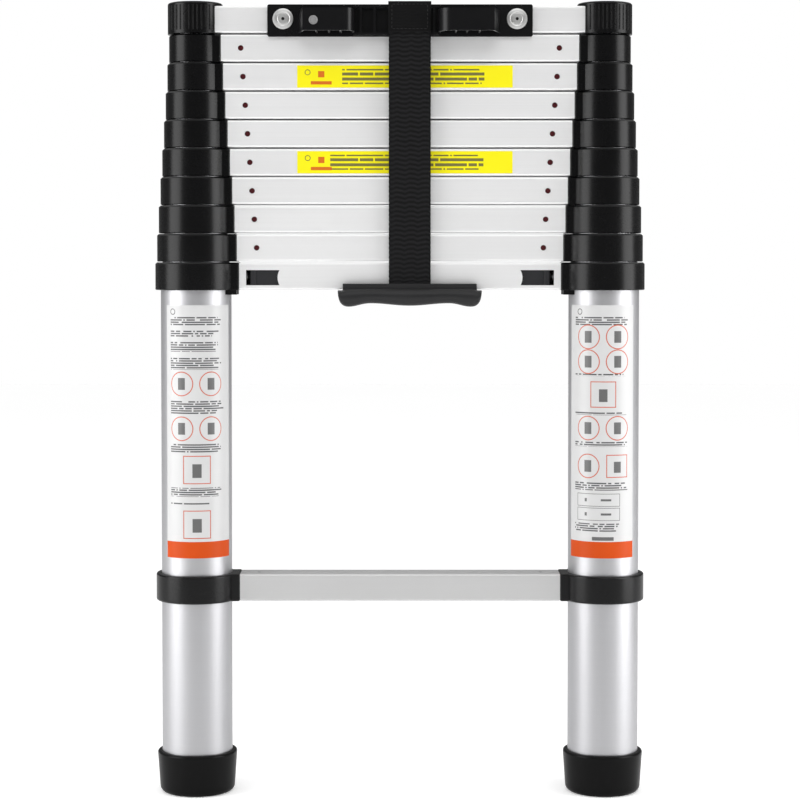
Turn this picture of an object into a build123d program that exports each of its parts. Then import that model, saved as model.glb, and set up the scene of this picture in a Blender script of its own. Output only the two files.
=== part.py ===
from build123d import *
from math import cos, pi
import os

# Telescoping ladder, closed. Millimetres, +Z up, X along the rungs, front towards -Y.
# The origin is on the floor, midway between the two feet, in the plane of the stile axes.
# Section 0 is the outermost pair of tubes, which stands on the feet; section 9 is the innermost
# pair, which carries the top rung. Every section slides straight up out of the one outside it.

# ---- overall sizes ----
rung_pitch = 300.0          # rung to rung, extended
first_rung_height = 200.0   # fixed bottom rung above the floor
stile_spacing = 394.0       # between the two stile axes
top_section = 9             # sections 0 to 9

# ---- tubes ----
base_tube_radius = 34.0
tube_wall = 1.25
tube_gap = 0.5              # radial gap between one tube and the bore it slides in
tube_overlap = 60.0         # what stays inside the outer tube when a section is fully out
running_clearance = 0.08    # radial, between sliding fits
joint_gap = 0.05            # radial, between pieces pressed or glued together
body_gap = 0.3              # between faces of different sections that do not guide each other

# ---- collars ----
collar_height = 26.6
stack_gap = 0.65            # between one collar and the next, closed
collar_wall = 5.2           # outside the tube
collar_lip = 3.0            # lip above the tube's end, which guides the next tube
collar_round = 1.9          # outer edges of the bottom rung's collars
collar_top_bevel = 1.6
collar_foot_bevel = 0.6
neck_round = 2.0            # upright corners where the collar meets the rung
shoulder_proud = 1.0        # shoulder ahead of the rung's front and back
shoulder_length = 8.8       # tube to the rung's end, on section 0
shoulder_step = 0.37        # shorter on each section up
spigot_length = 32.0        # plug inside the rung
lug_inset = 2.8             # trip lug short of the rung's end
lug_width = 10.5
lug_drop = 4.4

# ---- rungs ----
rung_shy = 0.8              # rung lower than its collars
rung_depth = 34.0
rung_wall = 1.6
rung_corner = 2.0
rung_inner_corner = 0.8
spigot_clearance = 0.3
tread_grooves = 5
tread_groove_width = 1.3
tread_groove_depth = 0.5
tread_groove_pitch = 5.0

# ---- locks ----
pin_radius = 4.0
pin_hole_gap = 0.5          # radial, around a pin in a tube's wall
pin_tail = 24.0             # pin past the shoulder, inside the rung
flag_inset = 18.9           # indicator past the shoulder
flag_hole_radius = 2.75
flag_radius = 2.4
pin_retraction = 2.5        # spare travel of an inner section's pin into its rung

# ---- release windows and sliders, along X from the rung's end ----
window_inset = 6.6
window_length = 32.0
window_height = 14.5
window_drop = 1.4           # window's middle below the rung's
window_bow = 1.8            # bow of the inboard edge
slider_inset = 10.6
slider_length = 44.6
slider_thickness = 2.4
slider_margin = 1.2         # slider plate to the rung's floor and roof
slider_sleeve_radius = 5.0
ridge_width = 4.8
ridge_round = 1.2
release_wall = 6.4          # spigot wall that guides the release pin
release_seat = 4.0          # wall that the release spring pushes on
release_tail = 32.0
spring_length = 14.0        # room for the spring between the pin's tail and its seat
spring_radius = 3.2
spring_wire = 0.5
spring_turns = 5

# ---- feet ----
foot_height = 40.5
foot_rim_wall = 4.6         # outside the tube
foot_sole_wall = 2.3
foot_floor = 5.2
foot_corner = 7.0
foot_rim_round = 2.4
foot_draft = 0.6            # taper of the sole's lower edge
sole_groove = (3.0, 2.0, 12.0)   # width, depth, spacing

# ---- end caps and bushes ----
cap_wall = 8.15             # outside the tube
cap_top = 3.8               # cap above the top rung
cap_roof = 3.5
cap_flutes = 40
cap_crown = 2.2             # rounding of the cap's top edge
flute_end = 3.0             # plain band above and below the flutes
flute_radius = 0.9
bush_flange = 8.0
bush_spigot = 10.0
bush_wall = 2.5
vent_radius = 2.0

# ---- carrying bracket on the top rung ----
bracket_length = 253.0
bracket_height = 30.6
bracket_drop = 1.55         # bracket's middle below the top rung's
bracket_plate = 3.6
bracket_pad = 0.4           # pad that spaces the plate off the rung below
block_reach = 28.0          # how far the two blocks stand out from the plate
block_height = 21.2
block_drop = 3.05           # block's middle below the rung's
block_wall = 2.0
left_block = (-97.2, -91.8, -53.6, -43.5)
right_block = (36.5, 50.5, 89.1, 96.0)
left_ribs = (-79.2, -67.4, -56.2)
right_ribs = (53.0, 63.7, 75.6)
rib_thickness = 1.6
keeper_depth = 5.0
keeper_rail = 2.6
keeper_bars = (-37.3, -24.3, 32.4)
keeper_bar_width = 2.4
washer_radius = 9.8
washer_spacing = 223.2
washer_thickness = 1.4
rivet_radius = 2.4
mandrel_radius = 1.2        # hole left in a bottom rivet
mandrel_depth = 1.0
rivet_inset = 17.5          # bottom rivet from the rung's end
button_radius = 4.25
button_height = 0.9
socket_radius = 1.5         # blind rivet's mandrel hole
washer_bevel = 0.8
button_place = (-81.6, -1.0)  # X, and height above the block's middle

# ---- carrying strap and grip ----
strap_width = 39.6
strap_thickness = 1.6
strap_offset = 9.3          # strap's middle to the right of the ladder's
strap_gap = 0.5
strap_corner = 0.8
lap_overhang = 0.6          # lap wider than the strap on each side
grip_slot_set = 4.2         # strap's lower run in front of the rungs
lap_height = 29.0
grip_length = 137.0
grip_top_length = 128.0
grip_top = 6.0              # grip above the release rung's underside
grip_height = 22.3
grip_depth = 18.4
grip_scallop = 2.6
grip_scallop_width = 58.0
grip_bend = 5.5
grip_step = 14.0            # grip's full-length part, up from its lowest edge

# ---- worked out from the sizes above ----
rail_x = stile_spacing / 2
rung_height = collar_height - rung_shy
nested_pitch = collar_height + stack_gap
shoulder_depth = rung_depth + 2 * shoulder_proud
release_rung_z = first_rung_height + rung_pitch
inner_depth = rung_depth - 2 * rung_wall
inner_height = rung_height - 2 * rung_wall
release_spigot = release_tail + spring_length + release_seat
foot_rim_radius = base_tube_radius + foot_rim_wall
foot_sole_radius = base_tube_radius + foot_sole_wall
bracket_back = -rung_depth / 2
bracket_front = bracket_back - bracket_pad - bracket_plate
keeper_front = bracket_front - keeper_depth


def tube_radius(k):
    """Outer radius of section k's tubes."""
    return base_tube_radius - k * (tube_wall + tube_gap)


def bore_radius(k):
    return tube_radius(k) - tube_wall


def rung_z(k):
    """Middle of section k's rung, closed."""
    return release_rung_z + k * nested_pitch


def shoulder(k):
    """Stile axis to the end of section k's rung."""
    return tube_radius(k) + shoulder_length - k * shoulder_step


def tube_top(k):
    if k == top_section:
        return rung_z(k) + rung_height / 2 + cap_top - cap_roof
    return rung_z(k) + collar_height / 2 - collar_lip


def tube_bottom(k):
    if k == 0:
        return foot_floor
    return rung_z(k) + collar_height / 2 - collar_lip - rung_pitch - tube_overlap


def block(x0, x1, y0, y1, z0, z1):
    """A box between two corners."""
    middle = Pos((x0 + x1) / 2, (y0 + y1) / 2, (z0 + z1) / 2)
    return middle * Box(abs(x1 - x0), abs(y1 - y0), abs(z1 - z0))


def upright(radius, x, z0, z1):
    """A round bar along Z."""
    return Pos(x, 0, (z0 + z1) / 2) * Cylinder(radius, z1 - z0)


def cross_bar(radius, x0, x1, z):
    """A round bar along X."""
    return Pos((x0 + x1) / 2, 0, z) * Rot(0, 90, 0) * Cylinder(radius, abs(x1 - x0))


def front_bar(radius, x, y0, y1, z):
    """A round bar along Y."""
    return Pos(x, (y0 + y1) / 2, z) * Rot(90, 0, 0) * Cylinder(radius, abs(y1 - y0))


def pair(right):
    """The piece on the right stile and its mirror image on the left one."""
    return [right, mirror(right, Plane.YZ)]


def save(name, solids):
    solids = [s for piece in solids for s in piece.solids()]
    export_step(Compound(children=solids), f"parts/{name}.step")


def tube(k):
    """Section k's right tube, with its own lock pin's hole and the hole it locks by."""
    z0, z1 = tube_bottom(k), tube_top(k)
    body = upright(tube_radius(k), rail_x, z0, z1) - upright(bore_radius(k), rail_x, z0, z1)
    hole = pin_radius + pin_hole_gap
    if k < top_section:
        body -= cross_bar(hole, rail_x - tube_radius(k) - 2, rail_x, rung_z(k))
    if k > 0:
        body -= cross_bar(hole, rail_x - tube_radius(k) - 2, rail_x, rung_z(k) - rung_pitch)
    return body


def collar_shell(k, z, round_edges=False):
    """Ring round the tube and the squared shoulder that the rung's end meets."""
    low, high = z - collar_height / 2, z + collar_height / 2
    d = shoulder_depth / 2
    end = rail_x - shoulder(k)
    neck = block(end, rail_x, -d, d, low, high)
    shell = upright(tube_radius(k) + collar_wall, rail_x, low, high)
    shell += fillet(neck.edges().filter_by(Axis.Z).group_by(Axis.X)[0], neck_round)
    if round_edges:
        shell = fillet(shell.edges().group_by(Axis.Z)[-1] + shell.edges().group_by(Axis.Z)[0], collar_round)
    else:
        shell = chamfer(shell.edges().group_by(Axis.Z)[-1], collar_top_bevel)
        shell = chamfer(shell.edges().group_by(Axis.Z)[0], collar_foot_bevel)
    return shell - block(end - 10, end, -d, d, low, high)


def spigot(k, z, length):
    """Plug inside the rung's end."""
    x1 = rail_x - shoulder(k)
    d = inner_depth / 2 - spigot_clearance
    h = inner_height / 2 - spigot_clearance
    plug = block(x1 - length, x1 + 1, -d, d, z - h, z + h)
    return chamfer(plug.edges().group_by(Axis.X)[0], 1.0)


def collar(k):
    """Section k's right collar, which holds its tube, its rung and its lock pin."""
    z = rung_z(k)
    top = z + collar_height / 2
    length = release_spigot if k == 0 else spigot_length
    body = collar_shell(k, z) + spigot(k, z, length)
    body -= upright(tube_radius(k) + joint_gap, rail_x, z - collar_height, tube_top(k))
    body -= upright(tube_radius(k + 1) + running_clearance, rail_x, z, top + 1)
    x1 = rail_x - shoulder(k)
    if k == 0:
        seat = x1 - release_spigot + release_seat
        front = -inner_depth
        body -= cross_bar(pin_radius + running_clearance, x1 - release_wall - 1, rail_x, z)
        body -= block(seat, x1 - release_wall, front, pin_radius + 1.5, z - 20, z + 20)
        clear = -rung_depth / 2 + rung_wall + slider_thickness + 2 * body_gap
        body -= block(seat - 10, seat + 1, front, clear, z - 20, z + 20)
        bottom = z - collar_height / 2
        far, d = x1 + lug_inset, rung_depth / 2
        lug = block(far, far + lug_width, -d, d, bottom - lug_drop, bottom + 2)
        body += lug - upright(tube_radius(0) + joint_gap, rail_x, bottom - 10, z)
    else:
        end = x1 - spigot_length + 2.0
        body -= cross_bar(pin_radius + running_clearance, end, rail_x, z)
        half = flag_radius + 0.6
        flag = x1 - flag_inset
        body -= block(flag - half - pin_retraction, flag + half, -inner_depth, 0, z - half, z + half)
    return body


def bottom_collar():
    """Ring that clamps the fixed bottom rung to the right base tube."""
    z = first_rung_height
    body = collar_shell(0, z, round_edges=True) + spigot(0, z, spigot_length)
    return body - upright(tube_radius(0) + joint_gap, rail_x, z - 30, z + 30)


def rung_bar(half_length, z):
    """Hollow rung with a grooved tread on top."""
    profile = Plane.YZ * RectangleRounded(rung_depth, rung_height, rung_corner)
    hollow = Plane.YZ * RectangleRounded(inner_depth, inner_height, rung_inner_corner)
    bar = extrude(profile, half_length, both=True) - extrude(hollow, half_length, both=True)
    top = rung_height / 2
    grooves = [
        block(-half_length, half_length, y - tread_groove_width / 2, y + tread_groove_width / 2,
              top - tread_groove_depth, top + 1)
        for y in [(i - (tread_grooves - 1) / 2) * tread_groove_pitch for i in range(tread_grooves)]
    ]
    return Pos(0, 0, z) * (bar - grooves)


def rung(k):
    """Section k's rung, with the two holes that show its lock indicators."""
    half = rail_x - shoulder(k)
    bar = rung_bar(half, rung_z(k))
    holes = [
        front_bar(flag_hole_radius, side * (half - flag_inset), -rung_depth, -inner_depth / 2 + 1, rung_z(k))
        for side in (-1, 1)
    ]
    return bar - holes


def release_rung():
    """Section 0's rung, with a window at each end for the release sliders."""
    bar = rung_bar(rail_x - shoulder(0), rung_z(0))
    z = rung_z(0) - window_drop
    x1 = rail_x - shoulder(0) - window_inset
    x0 = x1 - window_length
    h = window_height / 2
    opening = block(x0, x1, -rung_depth, -inner_depth / 2 + 1, z - h, z + h)
    bow_radius = (h * h + window_bow * window_bow) / (2 * window_bow)
    opening -= front_bar(bow_radius, x0 + window_bow - bow_radius, -2 * rung_depth, 0, z)
    return bar - pair(opening)


def bottom_rung():
    """Fixed rung, with a rivet hole near each end of its tread."""
    half = rail_x - shoulder(0)
    bar = rung_bar(half, first_rung_height)
    top = first_rung_height + rung_height / 2
    return bar - pair(upright(rivet_radius, half - rivet_inset, top - 3, top + 1))


def bottom_rivet():
    """Blind rivet sunk in the bottom rung's tread."""
    x = rail_x - shoulder(0) - rivet_inset
    top = first_rung_height + rung_height / 2
    shank = upright(rivet_radius - joint_gap, x, top - rung_wall, top - 0.3)
    return shank - upright(mandrel_radius, x, top - mandrel_depth, top)


def top_rung():
    """Innermost section's rung, butted between its two tubes."""
    return rung_bar(rail_x - tube_radius(top_section) - joint_gap, rung_z(top_section))


def end_cap():
    """Fluted cap over the innermost tube's top and the top rung's end."""
    cap_radius = tube_radius(top_section) + cap_wall
    z0 = rung_z(top_section) - rung_height / 2 - rung_shy / 2
    z1 = rung_z(top_section) + rung_height / 2 + cap_top
    body = upright(cap_radius, rail_x, z0, z1)
    body = fillet(body.edges().group_by(Axis.Z)[-1], cap_crown)
    flutes = [
        Pos(rail_x, 0, (z0 + z1) / 2) * place * Cylinder(flute_radius, z1 - z0 - 2 * flute_end)
        for place in PolarLocations(cap_radius + 0.35, cap_flutes)
    ]
    body -= flutes
    d = rung_depth / 2 + joint_gap
    h = rung_height / 2 + joint_gap
    middle = rung_z(top_section)
    body -= block(0, rail_x, -d, d, middle - h, middle + h)
    return body - upright(tube_radius(top_section) + joint_gap, rail_x, z0 - 1, z1 - cap_roof)


def bush(k):
    """Guide bush and air seal in the lower end of section k's right tube."""
    z = tube_bottom(k)
    flange = upright(bore_radius(k - 1) - running_clearance, rail_x, z - bush_flange, z)
    plug = upright(bore_radius(k) - joint_gap, rail_x, z - 1, z + bush_spigot)
    plug -= upright(bore_radius(k) - bush_wall, rail_x, z, z + bush_spigot)
    return chamfer(flange.edges().group_by(Axis.Z)[0], 0.8) + plug - upright(
        vent_radius, rail_x, z - bush_flange, z + 1)


def lock_pin(k):
    """Section k's right lock pin, resting on the tube inside, with its indicator flag."""
    x1 = rail_x - tube_radius(k + 1) - body_gap
    x0 = rail_x - shoulder(k) - pin_tail
    pin = cross_bar(pin_radius, x0, x1, rung_z(k))
    pin = chamfer(pin.edges().group_by(Axis.X)[-1], 0.6)
    flag = front_bar(flag_radius, rail_x - shoulder(k) - flag_inset,
                     -inner_depth / 2 + body_gap, -pin_radius / 2, rung_z(k))
    return pin + flag


def release_pin():
    """Right lock pin of section 0."""
    x1 = rail_x - tube_radius(1) - body_gap
    pin = cross_bar(pin_radius, rail_x - shoulder(0) - release_tail, x1, rung_z(0))
    return chamfer(pin.edges().group_by(Axis.X)[-1], 0.6)


def release_slider():
    """Right thumb slider: a plate behind the window, a ridge and an eye round the pin."""
    z = rung_z(0)
    y0 = -inner_depth / 2 + body_gap
    near = rail_x - shoulder(0) - slider_inset
    half = inner_height / 2 - slider_margin
    plate = block(near - slider_length, near, y0, y0 + slider_thickness, z - half, z + half)
    low, high = z - window_drop - window_height / 2 + 0.5, z - window_drop + window_height / 2 - 0.5
    ridge = block(near - 0.4 - ridge_width, near - 0.4, y0 - rung_wall + 0.1, y0 + 0.1, low, high)
    ridge = fillet(ridge.edges().filter_by(Axis.Z).group_by(Axis.Y)[0], ridge_round)
    eye_x = rail_x - shoulder(0) - release_tail
    eye = block(eye_x, eye_x + 7, y0 + 1, 0, z - pin_radius, z + pin_radius)
    sleeve = cross_bar(slider_sleeve_radius, eye_x, rail_x - shoulder(0) - release_wall - 1, z)
    body = plate + ridge + eye + sleeve
    return body - cross_bar(pin_radius + joint_gap, eye_x - 1, rail_x, z)


def release_spring():
    """Right release spring, between the lock pin's tail and its seat."""
    x1 = rail_x - shoulder(0) - release_tail - 0.2
    x0 = rail_x - shoulder(0) - release_spigot + release_seat + 0.2
    length = x1 - x0 - 2 * spring_wire
    path = Helix(pitch=length / spring_turns, height=length, radius=spring_radius)
    wire = sweep(Plane(origin=path @ 0, z_dir=path % 0) * Circle(spring_wire), path=path, is_frenet=True)
    return Pos(x0 + spring_wire, 0, rung_z(0)) * Rot(0, 90, 0) * wire


def foot():
    """Rubber boot on the right base tube."""
    r = tube_radius(0) + joint_gap
    outline = Polyline((0, 0), (foot_sole_radius - foot_draft, 0), (foot_sole_radius, foot_corner),
                       (foot_rim_radius, foot_height), (r, foot_height), (r, foot_floor),
                       (0, foot_floor), close=True)
    boot = revolve(Plane.XZ * make_face(outline), Axis.Z)
    boot = fillet(boot.edges().group_by(Axis.Z)[0], foot_corner - 1)
    boot = fillet(boot.edges().group_by(Axis.Z)[-1].sort_by(SortBy.RADIUS)[-1], foot_rim_round)
    width, depth, spacing = sole_groove
    grooves = [
        block(-60, 60, (i - 2.5) * spacing - width / 2, (i - 2.5) * spacing + width / 2, -1, depth)
        for i in range(6)
    ]
    return Pos(rail_x, 0, 0) * (boot - grooves)


def bracket_block(edges, ribs, inner_side):
    """Hollow block, open underneath, with a straight outer side and a curved inner one."""
    z = rung_z(top_section) - block_drop
    back, front = bracket_front, bracket_front - block_reach
    x0, x1, x2, x3 = edges
    bottom, top = z - block_height / 2, z + block_height / 2

    def outline(inset):
        a, b = back + 0.5, front + inset
        turn = abs(x3 - x2) if inner_side > 0 else abs(x1 - x0)
        cut, rise = turn * cos(pi / 4), turn * (1 - cos(pi / 4))
        if inner_side > 0:
            start, end = (x2 - inset, b), (x3 - inset, b + turn)
            bow = ThreePointArc(start, (x2 - inset + cut, b + rise), end)
            rest = Polyline(end, (x3 - inset, a), (x0 + inset, a), (x1 + inset, b), start)
        else:
            start, end = (x0 + inset, b + turn), (x1 + inset, b)
            bow = ThreePointArc(start, (x1 + inset - cut, b + rise), end)
            rest = Polyline(end, (x2 - inset, b), (x3 - inset, a), (x0 + inset, a), start)
        return make_face(bow.edges() + rest.edges())

    shell = Pos(0, 0, bottom) * extrude(outline(0), block_height)
    cavity = Pos(0, 0, bottom - 1) * extrude(outline(block_wall), block_height - block_wall + 1)
    half = rib_thickness / 2
    walls = [block(x - half, x + half, front + 1, back, bottom, top - 1) for x in ribs]
    return shell - cavity + walls


def bracket():
    """Moulded bracket on the top rung, with two blocks and the strap's keeper."""
    z = rung_z(top_section) - bracket_drop
    low, high = z - bracket_height / 2, z + bracket_height / 2
    half = bracket_length / 2
    plate = block(-half, half, bracket_front, bracket_back - bracket_pad, low, high)
    plate = fillet(plate.edges().filter_by(Axis.Y), 2.0)
    middle = rung_z(top_section)
    pad = block(-half + 4, half - 4, bracket_back - bracket_pad - 1, bracket_back, middle - 10, middle + 10)
    x0, x1 = left_block[3] - 1, right_block[0] + 1
    body = plate + pad
    body += bracket_block(left_block, left_ribs, 1)
    body += bracket_block(right_block, right_ribs, -1)
    for rail in (low + 1.0, high - 1.0 - keeper_rail):
        body += block(x0, x1, keeper_front, bracket_front, rail, rail + keeper_rail)
    for x in keeper_bars:
        w = keeper_bar_width / 2
        body += block(x - w, x + w, keeper_front, bracket_front, low + 1.0, high - 1.0)
    for side in (-1, 1):
        body -= front_bar(rivet_radius + 0.2, side * washer_spacing / 2, -40, 0, middle)
    return body


def bracket_fasteners():
    """A washer and rivet at each end of the bracket, and the round button on its left block."""
    z = rung_z(top_section)
    out = []
    for side in (-1, 1):
        x = side * washer_spacing / 2
        washer = front_bar(washer_radius, x, bracket_front - washer_thickness, bracket_front, z)
        washer = chamfer(washer.edges().group_by(Axis.Y)[0], washer_bevel)
        shank = front_bar(rivet_radius, x, bracket_front, bracket_back, z)
        socket = front_bar(socket_radius, x, bracket_front - 5, bracket_front - 0.2, z)
        out.append(washer + shank - socket)
    x, up = button_place
    face = bracket_front - block_reach
    button = front_bar(button_radius, x, face - button_height, face, z - block_drop + up)
    out.append(chamfer(button.edges().group_by(Axis.Y)[0], 0.4))
    return out


def strap_line():
    """Inner face of the strap's loop, seen along X: (y, z) corners."""
    front = keeper_front - strap_gap
    back = rung_depth / 2 + strap_gap
    high = rung_z(top_section) - bracket_drop + bracket_height / 2 + strap_gap
    low = rung_z(0) - rung_height / 2 - strap_gap
    grip_y = bracket_back - grip_slot_set
    knee = rung_z(top_section) - bracket_drop - bracket_height / 2
    return [(front, high), (back, high), (back, low), (grip_y, low), (grip_y, low + 8), (front, knee)]


def strap_loop(points, radius):
    face = make_face(Polyline(points, close=True))
    return fillet(face.vertices(), radius)


def strap():
    """Webbing loop round all the rungs, with the lap where it is sewn back on itself."""
    inner = strap_loop(strap_line(), strap_corner)
    outer = offset(inner, strap_thickness)
    ring = extrude(Plane.YZ * (outer - inner), strap_width / 2, both=True)
    front = keeper_front - strap_gap - strap_thickness
    high = strap_line()[0][1]
    half = strap_width / 2 + lap_overhang
    lap = block(-half, half, front - strap_thickness, front, high - lap_height, high)
    return Pos(strap_offset, 0, 0) * (ring + lap)


def grip():
    """Hand grip that the strap threads, in front of the release rung's lower edge."""
    under = rung_z(0) - rung_height / 2
    back = -rung_depth / 2 - 2 * body_gap
    front = back - grip_depth
    high, low = under + grip_top, under + grip_top - grip_height
    face = Plane.YZ * make_face(Polyline((back, high), (front, high), (front, low), (back, low), close=True))
    body = extrude(face, grip_length / 2, both=True)
    body = fillet(body.edges().filter_by(Axis.X).group_by(Axis.Y)[0], grip_bend)
    for side in (-1, 1):
        near, far = side * grip_top_length / 2, side * grip_length
        body -= block(near, far, front - 1, back + 1, low + grip_step, high + 1)
    w, d = grip_scallop_width, grip_scallop
    radius = (w * w / 4 + d * d) / (2 * d)
    for side in (-1, 1):
        body -= front_bar(radius, side * (w / 2 + 2), front - 5, back + 5, low + d - radius)
    inner = strap_loop(strap_line(), strap_corner)
    slot = offset(inner, strap_thickness + 0.3) - offset(inner, -0.3)
    body -= extrude(Plane.YZ * slot, strap_width / 2 + 0.5, both=True)
    return Pos(strap_offset, 0, 0) * body


os.makedirs("parts", exist_ok=True)

save("base_tubes", pair(tube(0)))
save("feet", pair(foot()))
save("bottom_rung", [bottom_rung()])
save("bottom_rung_collars", pair(bottom_collar()))
save("bottom_rung_rivets", pair(bottom_rivet()))
save("base_collars", pair(collar(0)))
save("release_rung", [release_rung()])

for side, flip in (("right", False), ("left", True)):
    release_parts = {"slider": release_slider(), "lock_pin": release_pin(), "spring": release_spring()}
    for name, piece in release_parts.items():
        save(f"release_{name}_{side}", [mirror(piece, Plane.YZ) if flip else piece])

for k in range(1, top_section):
    save(f"section_{k}_tubes", pair(tube(k)))
    save(f"section_{k}_collars_and_bushes", pair(collar(k)) + pair(bush(k)))
    save(f"section_{k}_rung", [rung(k)])
    save(f"section_{k}_lock_pin_right", [lock_pin(k)])
    save(f"section_{k}_lock_pin_left", [mirror(lock_pin(k), Plane.YZ)])

save(f"section_{top_section}_tubes", pair(tube(top_section)))
save("end_caps_and_bushes", pair(end_cap()) + pair(bush(top_section)))
save("top_rung", [top_rung()])
save("strap_bracket", [bracket()])
save("bracket_fasteners", bracket_fasteners())
save("carry_strap", [strap()])
save("carry_grip", [grip()])
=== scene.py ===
import math
from functools import reduce

import bmesh
import bpy
from bpy.props import FloatProperty, FloatVectorProperty, IntProperty, PointerProperty
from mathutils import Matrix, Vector


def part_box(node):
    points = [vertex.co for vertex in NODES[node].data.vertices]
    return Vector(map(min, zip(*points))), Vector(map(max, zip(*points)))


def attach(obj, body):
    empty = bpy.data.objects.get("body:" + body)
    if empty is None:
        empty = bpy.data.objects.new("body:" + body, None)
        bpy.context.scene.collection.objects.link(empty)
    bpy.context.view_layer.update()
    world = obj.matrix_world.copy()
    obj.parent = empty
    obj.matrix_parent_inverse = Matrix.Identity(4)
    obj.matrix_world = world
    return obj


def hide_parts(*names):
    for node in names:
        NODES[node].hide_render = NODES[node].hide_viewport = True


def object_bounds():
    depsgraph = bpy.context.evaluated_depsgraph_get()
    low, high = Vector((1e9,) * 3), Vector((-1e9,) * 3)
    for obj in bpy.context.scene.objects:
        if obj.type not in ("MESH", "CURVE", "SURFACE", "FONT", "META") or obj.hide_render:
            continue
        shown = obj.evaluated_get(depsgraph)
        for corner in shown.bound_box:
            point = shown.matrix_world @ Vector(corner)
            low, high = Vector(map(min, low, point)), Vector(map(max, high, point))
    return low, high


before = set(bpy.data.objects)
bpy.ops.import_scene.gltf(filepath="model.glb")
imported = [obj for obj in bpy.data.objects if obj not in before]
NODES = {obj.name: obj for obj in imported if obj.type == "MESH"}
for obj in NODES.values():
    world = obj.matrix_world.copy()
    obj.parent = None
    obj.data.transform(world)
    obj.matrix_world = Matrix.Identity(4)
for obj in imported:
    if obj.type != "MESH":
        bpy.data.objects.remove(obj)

bl_info = {
    "name": "Telescoping Ladder Finishes",
    "version": (1, 0, 0),
    "blender": (4, 5, 0),
    "location": "View3D > Sidebar > Ladder",
    "description": "Gives a telescoping ladder its finishes, strap, grip, labels, fasteners and studio",
    "category": "Object",
}

CAD_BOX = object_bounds()
TOP = 9
SECTIONS = range(1, TOP)

STRAP_LOW, STRAP_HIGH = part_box("carry_strap")
GRIP_LOW, GRIP_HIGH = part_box("carry_grip")
BASE_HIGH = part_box("base_tubes")[1]
RUNG_LOW, RUNG_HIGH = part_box("release_rung")
TOP_RUNG_LOW, TOP_RUNG_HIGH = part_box("top_rung")
BRACKET_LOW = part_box("strap_bracket")[0]
FASTENER_LOW, FASTENER_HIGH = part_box("bracket_fasteners")

TUBE_RADIUS = BASE_HIGH.y
RAIL_X = BASE_HIGH.x - TUBE_RADIUS
STRAP_X = (STRAP_LOW.x + STRAP_HIGH.x) / 2
TOP_RUNG_MIDDLE_Z = ((TOP_RUNG_LOW + TOP_RUNG_HIGH) / 2).z
PLATE_THICKNESS = 0.004
PLATE_FRONT = TOP_RUNG_LOW.y - PLATE_THICKNESS
INDICATOR_BACK = RUNG_LOW.y + 0.0033
SKIN = 0.00002


# ---- a surface's varying values, and the shader that they feed ----

class Value:
    """A number that varies over a surface; arithmetic on it adds Math nodes."""

    def __init__(self, finish, socket):
        self.finish = finish
        self.socket = socket

    def math(self, operation, *operands):
        inputs = dict(enumerate(operands))
        return self.finish.node("ShaderNodeMath", {"operation": operation}, inputs)

    def __add__(self, other):
        return self.math("ADD", self, other)

    def __sub__(self, other):
        return self.math("SUBTRACT", self, other)

    def __rsub__(self, other):
        return self.math("SUBTRACT", other, self)

    def __mul__(self, other):
        return self.math("MULTIPLY", self, other)

    def __truediv__(self, other):
        return self.math("DIVIDE", self, other)

    def __lt__(self, other):
        return self.math("LESS_THAN", self, other)

    def __gt__(self, other):
        return self.math("GREATER_THAN", self, other)

    __radd__ = __add__
    __rmul__ = __mul__

    def fraction(self):
        return self.math("FRACT", self)

    def whole(self):
        return self.math("FLOOR", self)

    def size(self):
        return self.math("ABSOLUTE", self)

    def sine(self):
        return self.math("SINE", self)

    def root(self):
        return self.math("SQRT", self)

    def larger(self, other):
        return self.math("MAXIMUM", self, other)


class Shading:
    """A tree of shader nodes, and the ways to add to it."""

    def __init__(self, owner):
        owner.use_nodes = True
        self.nodes = owner.node_tree.nodes
        self.links = owner.node_tree.links

    def feed(self, socket, value):
        if isinstance(value, Value):
            self.links.new(value.socket, socket)
        else:
            socket.default_value = value

    def node(self, kind, settings=None, inputs=None, output=0):
        """Adds a node: its settings first, then the values or links of its sockets."""
        made = self.nodes.new(kind)
        for name, value in (settings or {}).items():
            setattr(made, name, value)
        for name, value in (inputs or {}).items():
            self.feed(made.inputs[name], value)
        return Value(self, made.outputs[output])

    def split(self, vector):
        """A vector's three parts as separate values."""
        parts = self.nodes.new("ShaderNodeSeparateXYZ")
        self.feed(parts.inputs[0], vector)
        return [Value(self, socket) for socket in parts.outputs]


class Finish(Shading):
    """One procedural material: its Principled shader and the nodes that feed it."""

    def __init__(self, name, **constants):
        self.material = bpy.data.materials.new(name)
        super().__init__(self.material)
        self.shader = self.nodes["Principled BSDF"]
        for socket, value in constants.items():
            self.shader.inputs[socket.replace("_", " ")].default_value = value

    def place(self, scale=(1, 1, 1)):
        """Object coordinates in metres, stretched along each axis."""
        here = self.node("ShaderNodeTexCoord", output="Object")
        return self.node("ShaderNodeMapping", None, {"Vector": here, "Scale": scale})

    def axes(self):
        """The three Object coordinates as separate values."""
        return self.split(self.node("ShaderNodeTexCoord", output="Object"))

    def noise(self, scale, detail=2.0, where=None, roughness=0.5):
        where = where or self.place()
        return self.node("ShaderNodeTexNoise", None,
                         {"Vector": where, "Scale": scale, "Detail": detail, "Roughness": roughness})

    def blend(self, amount, first, second):
        """A colour between two others."""
        return self.node("ShaderNodeMix", {"data_type": "RGBA"}, {0: amount, 6: first, 7: second}, output=2)

    def colour(self, value):
        self.feed(self.shader.inputs["Base Color"], value)

    def roughness(self, value):
        self.feed(self.shader.inputs["Roughness"], value)

    def bump(self, height, strength, distance):
        relief = self.node("ShaderNodeBump", None,
                           {"Strength": strength, "Distance": distance, "Height": height})
        self.links.new(relief.socket, self.shader.inputs["Normal"])


def union(masks):
    """Where at least one of the masks is."""
    return reduce(Value.larger, masks)


def rgb(values):
    return (*values[:3], 1.0)


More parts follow.
